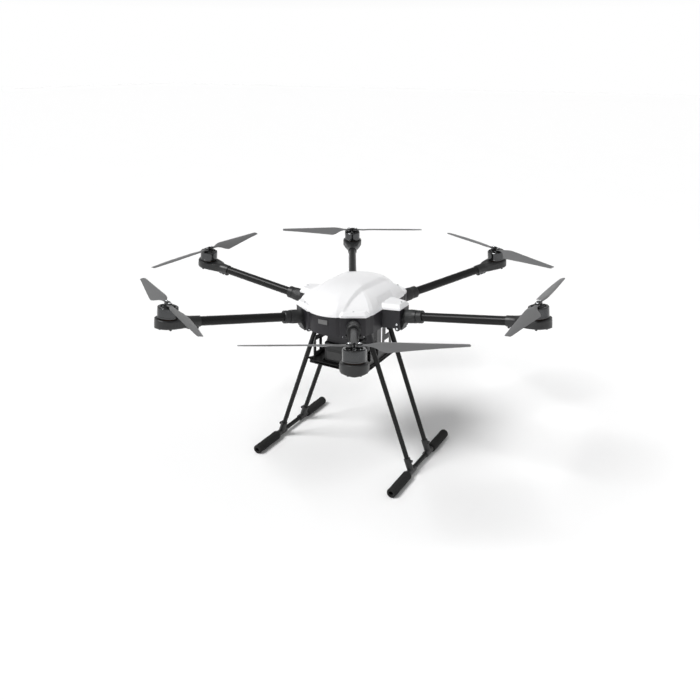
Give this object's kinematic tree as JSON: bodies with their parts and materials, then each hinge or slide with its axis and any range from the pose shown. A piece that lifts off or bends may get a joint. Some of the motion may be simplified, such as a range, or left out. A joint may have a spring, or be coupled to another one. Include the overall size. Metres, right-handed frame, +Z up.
{
  "type": "folding hexacopter drone",
  "caption": "Heavy-lift folding multirotor with a domed cover, tubular arms, folding propellers, an underslung battery bay and foam-footed skids.",
  "frame": {"origin": "on the ground under the middle of the craft, the centre of the bottom of its box", "axes": "+Z up, nose towards -Y, skids along Y, +X on the right as seen from in front"},
  "size_m": [1.294, 1.334, 0.6499],
  "materials": {
    "white_shell": "satin gloss",
    "black_shell": "satin",
    "steel": "bright",
    "carbon": "satin carbon weave",
    "black_metal": "black anodised",
    "board": "satin",
    "plate_grey": "satin",
    "foam": "matte",
    "grey_metal": "satin",
    "battery_case": "satin",
    "motor_metal": "satin anodised",
    "blade": "satin"
  },
  "bodies": {
    "airframe": {"top_cover": "white_shell", "lower_shell": "black_shell", "arm_lugs": "black_shell", "frame_plates": "carbon", "standoffs": "black_metal", "flight_controller": "black_shell", "power_board": "board", "name_plate": "plate_grey", "strut_sockets": "black_shell", "struts": "carbon", "tee_joints": "black_shell", "skid_tubes": "carbon", "foam_sleeves": "foam", "tray_plates": "carbon", "side_plates": "grey_metal", "pins_and_screws": "steel"},
    "battery": {"battery": "battery_case"},
    "battery_latch": {"battery_latch": "grey_metal"},
    "arm_right": {"arm_knuckle_right": "black_metal", "arm_tube_right": "carbon", "motor_mount_right": "black_metal"},
    "collar_right": {"lock_collar_right": "black_metal"},
    "rotor_right": {"rotor_right": "motor_metal"},
    "blade_a_right": {"blade_a_right": "blade"},
    "blade_b_right": {"blade_b_right": "blade"},
    "arm_rear_right": {"arm_knuckle_rear_right": "black_metal", "arm_tube_rear_right": "carbon", "motor_mount_rear_right": "black_metal"},
    "collar_rear_right": {"lock_collar_rear_right": "black_metal"},
    "rotor_rear_right": {"rotor_rear_right": "motor_metal"},
    "blade_a_rear_right": {"blade_a_rear_right": "blade"},
    "blade_b_rear_right": {"blade_b_rear_right": "blade"},
    "arm_rear_left": {"arm_knuckle_rear_left": "black_metal", "arm_tube_rear_left": "carbon", "motor_mount_rear_left": "black_metal"},
    "collar_rear_left": {"lock_collar_rear_left": "black_metal"},
    "rotor_rear_left": {"rotor_rear_left": "motor_metal"},
    "blade_a_rear_left": {"blade_a_rear_left": "blade"},
    "blade_b_rear_left": {"blade_b_rear_left": "blade"},
    "arm_left": {"arm_knuckle_left": "black_metal", "arm_tube_left": "carbon", "motor_mount_left": "black_metal"},
    "collar_left": {"lock_collar_left": "black_metal"},
    "rotor_left": {"rotor_left": "motor_metal"},
    "blade_a_left": {"blade_a_left": "blade"},
    "blade_b_left": {"blade_b_left": "blade"},
    "arm_front_left": {"arm_knuckle_front_left": "black_metal", "arm_tube_front_left": "carbon", "motor_mount_front_left": "black_metal"},
    "collar_front_left": {"lock_collar_front_left": "black_metal"},
    "rotor_front_left": {"rotor_front_left": "motor_metal"},
    "blade_a_front_left": {"blade_a_front_left": "blade"},
    "blade_b_front_left": {"blade_b_front_left": "blade"},
    "arm_front_right": {"arm_knuckle_front_right": "black_metal", "arm_tube_front_right": "carbon", "motor_mount_front_right": "black_metal"},
    "collar_front_right": {"lock_collar_front_right": "black_metal"},
    "rotor_front_right": {"rotor_front_right": "motor_metal"},
    "blade_a_front_right": {"blade_a_front_right": "blade"},
    "blade_b_front_right": {"blade_b_front_right": "blade"}
  },
  "joints": [
    {"name": "arm_fold_right", "type": "hinge", "parent": "airframe", "child": "arm_right", "pos_m": [0.178, 0, 0.494], "axis": [0, 1, 0], "range_deg": [0, 86]},
    {"name": "collar_turn_right", "type": "hinge", "parent": "arm_right", "child": "collar_right", "pos_m": [0.1902, 0, 0.52887], "axis": [0.9903, 0, 0.1392], "range_deg": [0, 90]},
    {"name": "rotor_spin_right", "type": "hinge", "parent": "arm_right", "child": "rotor_right", "pos_m": [0.6, 0, 0.642], "axis": [-0.1392, 0, 0.9903], "continuous": true},
    {"name": "blade_fold_a_right", "type": "hinge", "parent": "rotor_right", "child": "blade_a_right", "pos_m": [0.6, 0.0125, 0.642], "axis": [-0.1392, 0, 0.9903], "range_deg": [0, 88]},
    {"name": "blade_fold_b_right", "type": "hinge", "parent": "rotor_right", "child": "blade_b_right", "pos_m": [0.6, -0.0125, 0.642], "axis": [0.1392, 0, -0.9903], "range_deg": [0, 88]},
    {"name": "arm_fold_rear_right", "type": "hinge", "parent": "airframe", "child": "arm_rear_right", "pos_m": [0.089, 0.15415, 0.494], "axis": [-0.866, 0.5, 0], "range_deg": [0, 86]},
    {"name": "collar_turn_rear_right", "type": "hinge", "parent": "arm_rear_right", "child": "collar_rear_right", "pos_m": [0.0951, 0.16472, 0.52887], "axis": [0.4951, 0.8576, 0.1392], "range_deg": [0, 90]},
    {"name": "rotor_spin_rear_right", "type": "hinge", "parent": "arm_rear_right", "child": "rotor_rear_right", "pos_m": [0.3, 0.51962, 0.642], "axis": [-0.0696, -0.1205, 0.9903], "continuous": true},
    {"name": "blade_fold_a_rear_right", "type": "hinge", "parent": "rotor_rear_right", "child": "blade_a_rear_right", "pos_m": [0.28917, 0.52587, 0.642], "axis": [-0.0696, -0.1205, 0.9903], "range_deg": [0, 88]},
    {"name": "blade_fold_b_rear_right", "type": "hinge", "parent": "rotor_rear_right", "child": "blade_b_rear_right", "pos_m": [0.31083, 0.51337, 0.642], "axis": [0.0696, 0.1205, -0.9903], "range_deg": [0, 88]},
    {"name": "arm_fold_rear_left", "type": "hinge", "parent": "airframe", "child": "arm_rear_left", "pos_m": [-0.089, 0.15415, 0.494], "axis": [-0.866, -0.5, 0], "range_deg": [0, 86]},
    {"name": "collar_turn_rear_left", "type": "hinge", "parent": "arm_rear_left", "child": "collar_rear_left", "pos_m": [-0.0951, 0.16472, 0.52887], "axis": [-0.4951, 0.8576, 0.1392], "range_deg": [0, 90]},
    {"name": "rotor_spin_rear_left", "type": "hinge", "parent": "arm_rear_left", "child": "rotor_rear_left", "pos_m": [-0.3, 0.51962, 0.642], "axis": [0.0696, -0.1205, 0.9903], "continuous": true},
    {"name": "blade_fold_a_rear_left", "type": "hinge", "parent": "rotor_rear_left", "child": "blade_a_rear_left", "pos_m": [-0.31083, 0.51337, 0.642], "axis": [0.0696, -0.1205, 0.9903], "range_deg": [0, 88]},
    {"name": "blade_fold_b_rear_left", "type": "hinge", "parent": "rotor_rear_left", "child": "blade_b_rear_left", "pos_m": [-0.28917, 0.52587, 0.642], "axis": [-0.0696, 0.1205, -0.9903], "range_deg": [0, 88]},
    {"name": "arm_fold_left", "type": "hinge", "parent": "airframe", "child": "arm_left", "pos_m": [-0.178, 0, 0.494], "axis": [0, -1, 0], "range_deg": [0, 86]},
    {"name": "collar_turn_left", "type": "hinge", "parent": "arm_left", "child": "collar_left", "pos_m": [-0.1902, 0, 0.52887], "axis": [-0.9903, 0, 0.1392], "range_deg": [0, 90]},
    {"name": "rotor_spin_left", "type": "hinge", "parent": "arm_left", "child": "rotor_left", "pos_m": [-0.6, 0, 0.642], "axis": [0.1392, 0, 0.9903], "continuous": true},
    {"name": "blade_fold_a_left", "type": "hinge", "parent": "rotor_left", "child": "blade_a_left", "pos_m": [-0.6, -0.0125, 0.642], "axis": [0.1392, 0, 0.9903], "range_deg": [0, 88]},
    {"name": "blade_fold_b_left", "type": "hinge", "parent": "rotor_left", "child": "blade_b_left", "pos_m": [-0.6, 0.0125, 0.642], "axis": [-0.1392, 0, -0.9903], "range_deg": [0, 88]},
    {"name": "arm_fold_front_left", "type": "hinge", "parent": "airframe", "child": "arm_front_left", "pos_m": [-0.089, -0.15415, 0.494], "axis": [0.866, -0.5, 0], "range_deg": [0, 86]},
    {"name": "collar_turn_front_left", "type": "hinge", "parent": "arm_front_left", "child": "collar_front_left", "pos_m": [-0.0951, -0.16472, 0.52887], "axis": [-0.4951, -0.8576, 0.1392], "range_deg": [0, 90]},
    {"name": "rotor_spin_front_left", "type": "hinge", "parent": "arm_front_left", "child": "rotor_front_left", "pos_m": [-0.3, -0.51962, 0.642], "axis": [0.0696, 0.1205, 0.9903], "continuous": true},
    {"name": "blade_fold_a_front_left", "type": "hinge", "parent": "rotor_front_left", "child": "blade_a_front_left", "pos_m": [-0.28917, -0.52587, 0.642], "axis": [0.0696, 0.1205, 0.9903], "range_deg": [0, 88]},
    {"name": "blade_fold_b_front_left", "type": "hinge", "parent": "rotor_front_left", "child": "blade_b_front_left", "pos_m": [-0.31083, -0.51337, 0.642], "axis": [-0.0696, -0.1205, -0.9903], "range_deg": [0, 88]},
    {"name": "arm_fold_front_right", "type": "hinge", "parent": "airframe", "child": "arm_front_right", "pos_m": [0.089, -0.15415, 0.494], "axis": [0.866, 0.5, 0], "range_deg": [0, 86]},
    {"name": "collar_turn_front_right", "type": "hinge", "parent": "arm_front_right", "child": "collar_front_right", "pos_m": [0.0951, -0.16472, 0.52887], "axis": [0.4951, -0.8576, 0.1392], "range_deg": [0, 90]},
    {"name": "rotor_spin_front_right", "type": "hinge", "parent": "arm_front_right", "child": "rotor_front_right", "pos_m": [0.3, -0.51962, 0.642], "axis": [-0.0696, 0.1205, 0.9903], "continuous": true},
    {"name": "blade_fold_a_front_right", "type": "hinge", "parent": "rotor_front_right", "child": "blade_a_front_right", "pos_m": [0.31083, -0.51337, 0.642], "axis": [-0.0696, 0.1205, 0.9903], "range_deg": [0, 88]},
    {"name": "blade_fold_b_front_right", "type": "hinge", "parent": "rotor_front_right", "child": "blade_b_front_right", "pos_m": [0.28917, -0.52587, 0.642], "axis": [0.0696, -0.1205, -0.9903], "range_deg": [0, 88]},
    {"name": "battery_slide", "type": "slide", "parent": "airframe", "child": "battery", "axis": [0, -1, 0], "range_m": [0, 0.205]},
    {"name": "latch_turn", "type": "hinge", "parent": "airframe", "child": "battery_latch", "pos_m": [-0.097, -0.107, 0.362], "axis": [0, 0, 1], "range_deg": [0, 90]}
  ]
}
